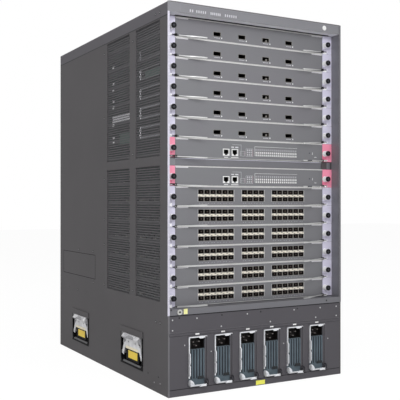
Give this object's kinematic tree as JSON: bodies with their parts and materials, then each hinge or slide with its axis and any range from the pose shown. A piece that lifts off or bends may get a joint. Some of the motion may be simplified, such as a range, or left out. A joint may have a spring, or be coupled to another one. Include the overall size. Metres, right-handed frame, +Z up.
{
  "type": "modular chassis switch",
  "caption": "Eighteen-unit rack chassis for network switching with horizontal line cards and control modules, front power supplies, folding side handles and rear fabric modules and fan trays.",
  "frame": {"origin": "on the floor, under the middle of the cabinet's footprint", "axes": "+X to the right seen from the front, +Y from the front to the rear, +Z up"},
  "size_m": [0.4548, 0.6801, 0.797],
  "materials": {
    "side_paint": "dark grey powder coat",
    "screen_metal": "dark grey perforated sheet",
    "front_paint": "dark grey powder coat",
    "card_paint": "mid grey satin paint",
    "bare_steel": "zinc-plated sheet",
    "lever_metal": "bright plated",
    "supply_case": "blue-grey moulded face on a steel case",
    "black_plastic": "matte black",
    "module_metal": "mid grey satin paint",
    "fan_frame": "dark grey satin paint",
    "board": "green solder mask"
  },
  "bodies": {
    "chassis": {"left_side_panel": "side_paint", "right_side_panel": "side_paint", "left_vent_screen": "screen_metal", "right_vent_screen": "screen_metal", "top_cover": "side_paint", "top_fascia": "front_paint", "base_tray": "bare_steel", "bottom_sill": "front_paint", "power_bay_front": "front_paint", "ground_strip": "front_paint", "wrist_strap_socket": "bare_steel", "slot_divider": "front_paint", "left_card_guide": "bare_steel", "right_card_guide": "bare_steel", "power_bay_deck": "bare_steel", "power_shelf": "bare_steel", "midplane": "board", "handle_cups": "black_plastic", "handle_brackets": "bare_steel", "rear_frame": "side_paint"},
    "line_card_01": {"line_card_01": "card_paint"},
    "line_card_02": {"line_card_02": "card_paint"},
    "line_card_03": {"line_card_03": "card_paint"},
    "line_card_04": {"line_card_04": "card_paint"},
    "line_card_05": {"line_card_05": "card_paint"},
    "line_card_06": {"line_card_06": "card_paint"},
    "line_card_07": {"line_card_07": "card_paint"},
    "line_card_08": {"line_card_08": "card_paint"},
    "line_card_09": {"line_card_09": "card_paint"},
    "line_card_10": {"line_card_10": "card_paint"},
    "line_card_11": {"line_card_11": "card_paint"},
    "line_card_12": {"line_card_12": "card_paint"},
    "control_module_upper": {"control_module_upper": "card_paint"},
    "ejector_lever_upper_left": {"ejector_lever_upper_left": "lever_metal"},
    "ejector_lever_upper_right": {"ejector_lever_upper_right": "lever_metal"},
    "control_module_lower": {"control_module_lower": "card_paint"},
    "ejector_lever_lower_left": {"ejector_lever_lower_left": "lever_metal"},
    "ejector_lever_lower_right": {"ejector_lever_lower_right": "lever_metal"},
    "power_supply_1": {"power_supply_1": "supply_case"},
    "supply_latch_1": {"supply_latch_1": "lever_metal"},
    "power_supply_2": {"power_supply_2": "supply_case"},
    "supply_latch_2": {"supply_latch_2": "lever_metal"},
    "power_supply_3": {"power_supply_3": "supply_case"},
    "supply_latch_3": {"supply_latch_3": "lever_metal"},
    "power_supply_4": {"power_supply_4": "supply_case"},
    "supply_latch_4": {"supply_latch_4": "lever_metal"},
    "power_supply_5": {"power_supply_5": "supply_case"},
    "supply_latch_5": {"supply_latch_5": "lever_metal"},
    "power_supply_6": {"power_supply_6": "supply_case"},
    "supply_latch_6": {"supply_latch_6": "lever_metal"},
    "carry_handle_left_front": {"carry_handle_left_front": "lever_metal"},
    "carry_handle_left_rear": {"carry_handle_left_rear": "lever_metal"},
    "carry_handle_right_front": {"carry_handle_right_front": "lever_metal"},
    "carry_handle_right_rear": {"carry_handle_right_rear": "lever_metal"},
    "fabric_module_1": {"fabric_module_1": "module_metal"},
    "fabric_module_2": {"fabric_module_2": "module_metal"},
    "fabric_module_3": {"fabric_module_3": "module_metal"},
    "fabric_module_4": {"fabric_module_4": "module_metal"},
    "fan_tray_left": {"fan_tray_left": "fan_frame"},
    "fan_tray_right": {"fan_tray_right": "fan_frame"}
  },
  "joints": [
    {"name": "line_card_01_slide", "type": "slide", "parent": "chassis", "child": "line_card_01", "axis": [0, -1, 0], "range_m": [0, 0.42]},
    {"name": "line_card_02_slide", "type": "slide", "parent": "chassis", "child": "line_card_02", "axis": [0, -1, 0], "range_m": [0, 0.42]},
    {"name": "line_card_03_slide", "type": "slide", "parent": "chassis", "child": "line_card_03", "axis": [0, -1, 0], "range_m": [0, 0.42]},
    {"name": "line_card_04_slide", "type": "slide", "parent": "chassis", "child": "line_card_04", "axis": [0, -1, 0], "range_m": [0, 0.42]},
    {"name": "line_card_05_slide", "type": "slide", "parent": "chassis", "child": "line_card_05", "axis": [0, -1, 0], "range_m": [0, 0.42]},
    {"name": "line_card_06_slide", "type": "slide", "parent": "chassis", "child": "line_card_06", "axis": [0, -1, 0], "range_m": [0, 0.42]},
    {"name": "line_card_07_slide", "type": "slide", "parent": "chassis", "child": "line_card_07", "axis": [0, -1, 0], "range_m": [0, 0.42]},
    {"name": "line_card_08_slide", "type": "slide", "parent": "chassis", "child": "line_card_08", "axis": [0, -1, 0], "range_m": [0, 0.42]},
    {"name": "line_card_09_slide", "type": "slide", "parent": "chassis", "child": "line_card_09", "axis": [0, -1, 0], "range_m": [0, 0.42]},
    {"name": "line_card_10_slide", "type": "slide", "parent": "chassis", "child": "line_card_10", "axis": [0, -1, 0], "range_m": [0, 0.42]},
    {"name": "line_card_11_slide", "type": "slide", "parent": "chassis", "child": "line_card_11", "axis": [0, -1, 0], "range_m": [0, 0.42]},
    {"name": "line_card_12_slide", "type": "slide", "parent": "chassis", "child": "line_card_12", "axis": [0, -1, 0], "range_m": [0, 0.42]},
    {"name": "control_module_upper_slide", "type": "slide", "parent": "chassis", "child": "control_module_upper", "axis": [0, -1, 0], "range_m": [0, 0.42]},
    {"name": "ejector_lever_upper_left_pivot", "type": "hinge", "parent": "control_module_upper", "child": "ejector_lever_upper_left", "pos_m": [-0.19, -0.3058, 0.4878], "axis": [0, 0, -1], "range_deg": [0, 60]},
    {"name": "ejector_lever_upper_right_pivot", "type": "hinge", "parent": "control_module_upper", "child": "ejector_lever_upper_right", "pos_m": [0.19, -0.3058, 0.4878], "axis": [0, 0, 1], "range_deg": [0, 60]},
    {"name": "control_module_lower_slide", "type": "slide", "parent": "chassis", "child": "control_module_lower", "axis": [0, -1, 0], "range_m": [0, 0.42]},
    {"name": "ejector_lever_lower_left_pivot", "type": "hinge", "parent": "control_module_lower", "child": "ejector_lever_lower_left", "pos_m": [-0.19, -0.3058, 0.4293], "axis": [0, 0, -1], "range_deg": [0, 60]},
    {"name": "ejector_lever_lower_right_pivot", "type": "hinge", "parent": "control_module_lower", "child": "ejector_lever_lower_right", "pos_m": [0.19, -0.3058, 0.4293], "axis": [0, 0, 1], "range_deg": [0, 60]},
    {"name": "power_supply_1_slide", "type": "slide", "parent": "chassis", "child": "power_supply_1", "axis": [0, -1, 0], "range_m": [0, 0.42]},
    {"name": "supply_latch_1_pivot", "type": "hinge", "parent": "power_supply_1", "child": "supply_latch_1", "pos_m": [-0.153, -0.3355, 0.0245], "axis": [-1, 0, 0], "range_deg": [0, 85]},
    {"name": "power_supply_2_slide", "type": "slide", "parent": "chassis", "child": "power_supply_2", "axis": [0, -1, 0], "range_m": [0, 0.42]},
    {"name": "supply_latch_2_pivot", "type": "hinge", "parent": "power_supply_2", "child": "supply_latch_2", "pos_m": [-0.0918, -0.3355, 0.0245], "axis": [-1, 0, 0], "range_deg": [0, 85]},
    {"name": "power_supply_3_slide", "type": "slide", "parent": "chassis", "child": "power_supply_3", "axis": [0, -1, 0], "range_m": [0, 0.42]},
    {"name": "supply_latch_3_pivot", "type": "hinge", "parent": "power_supply_3", "child": "supply_latch_3", "pos_m": [-0.0306, -0.3355, 0.0245], "axis": [-1, 0, 0], "range_deg": [0, 85]},
    {"name": "power_supply_4_slide", "type": "slide", "parent": "chassis", "child": "power_supply_4", "axis": [0, -1, 0], "range_m": [0, 0.42]},
    {"name": "supply_latch_4_pivot", "type": "hinge", "parent": "power_supply_4", "child": "supply_latch_4", "pos_m": [0.0306, -0.3355, 0.0245], "axis": [-1, 0, 0], "range_deg": [0, 85]},
    {"name": "power_supply_5_slide", "type": "slide", "parent": "chassis", "child": "power_supply_5", "axis": [0, -1, 0], "range_m": [0, 0.42]},
    {"name": "supply_latch_5_pivot", "type": "hinge", "parent": "power_supply_5", "child": "supply_latch_5", "pos_m": [0.0918, -0.3355, 0.0245], "axis": [-1, 0, 0], "range_deg": [0, 85]},
    {"name": "power_supply_6_slide", "type": "slide", "parent": "chassis", "child": "power_supply_6", "axis": [0, -1, 0], "range_m": [0, 0.42]},
    {"name": "supply_latch_6_pivot", "type": "hinge", "parent": "power_supply_6", "child": "supply_latch_6", "pos_m": [0.153, -0.3355, 0.0245], "axis": [-1, 0, 0], "range_deg": [0, 85]},
    {"name": "carry_handle_left_front_hinge", "type": "hinge", "parent": "chassis", "child": "carry_handle_left_front", "pos_m": [-0.2159, -0.1508, 0.086], "axis": [0, -1, 0], "range_deg": [-20, 70]},
    {"name": "carry_handle_left_rear_hinge", "type": "hinge", "parent": "chassis", "child": "carry_handle_left_rear", "pos_m": [-0.2159, 0.1705, 0.086], "axis": [0, -1, 0], "range_deg": [-20, 70]},
    {"name": "carry_handle_right_front_hinge", "type": "hinge", "parent": "chassis", "child": "carry_handle_right_front", "pos_m": [0.2159, -0.1508, 0.086], "axis": [0, 1, 0], "range_deg": [-20, 70]},
    {"name": "carry_handle_right_rear_hinge", "type": "hinge", "parent": "chassis", "child": "carry_handle_right_rear", "pos_m": [0.2159, 0.1705, 0.086], "axis": [0, 1, 0], "range_deg": [-20, 70]},
    {"name": "fabric_module_1_slide", "type": "slide", "parent": "chassis", "child": "fabric_module_1", "axis": [0, 1, 0], "range_m": [0, 0.26]},
    {"name": "fabric_module_2_slide", "type": "slide", "parent": "chassis", "child": "fabric_module_2", "axis": [0, 1, 0], "range_m": [0, 0.26]},
    {"name": "fabric_module_3_slide", "type": "slide", "parent": "chassis", "child": "fabric_module_3", "axis": [0, 1, 0], "range_m": [0, 0.26]},
    {"name": "fabric_module_4_slide", "type": "slide", "parent": "chassis", "child": "fabric_module_4", "axis": [0, 1, 0], "range_m": [0, 0.26]},
    {"name": "fan_tray_left_slide", "type": "slide", "parent": "chassis", "child": "fan_tray_left", "axis": [0, 1, 0], "range_m": [0, 0.11]},
    {"name": "fan_tray_right_slide", "type": "slide", "parent": "chassis", "child": "fan_tray_right", "axis": [0, 1, 0], "range_m": [0, 0.11]}
  ]
}
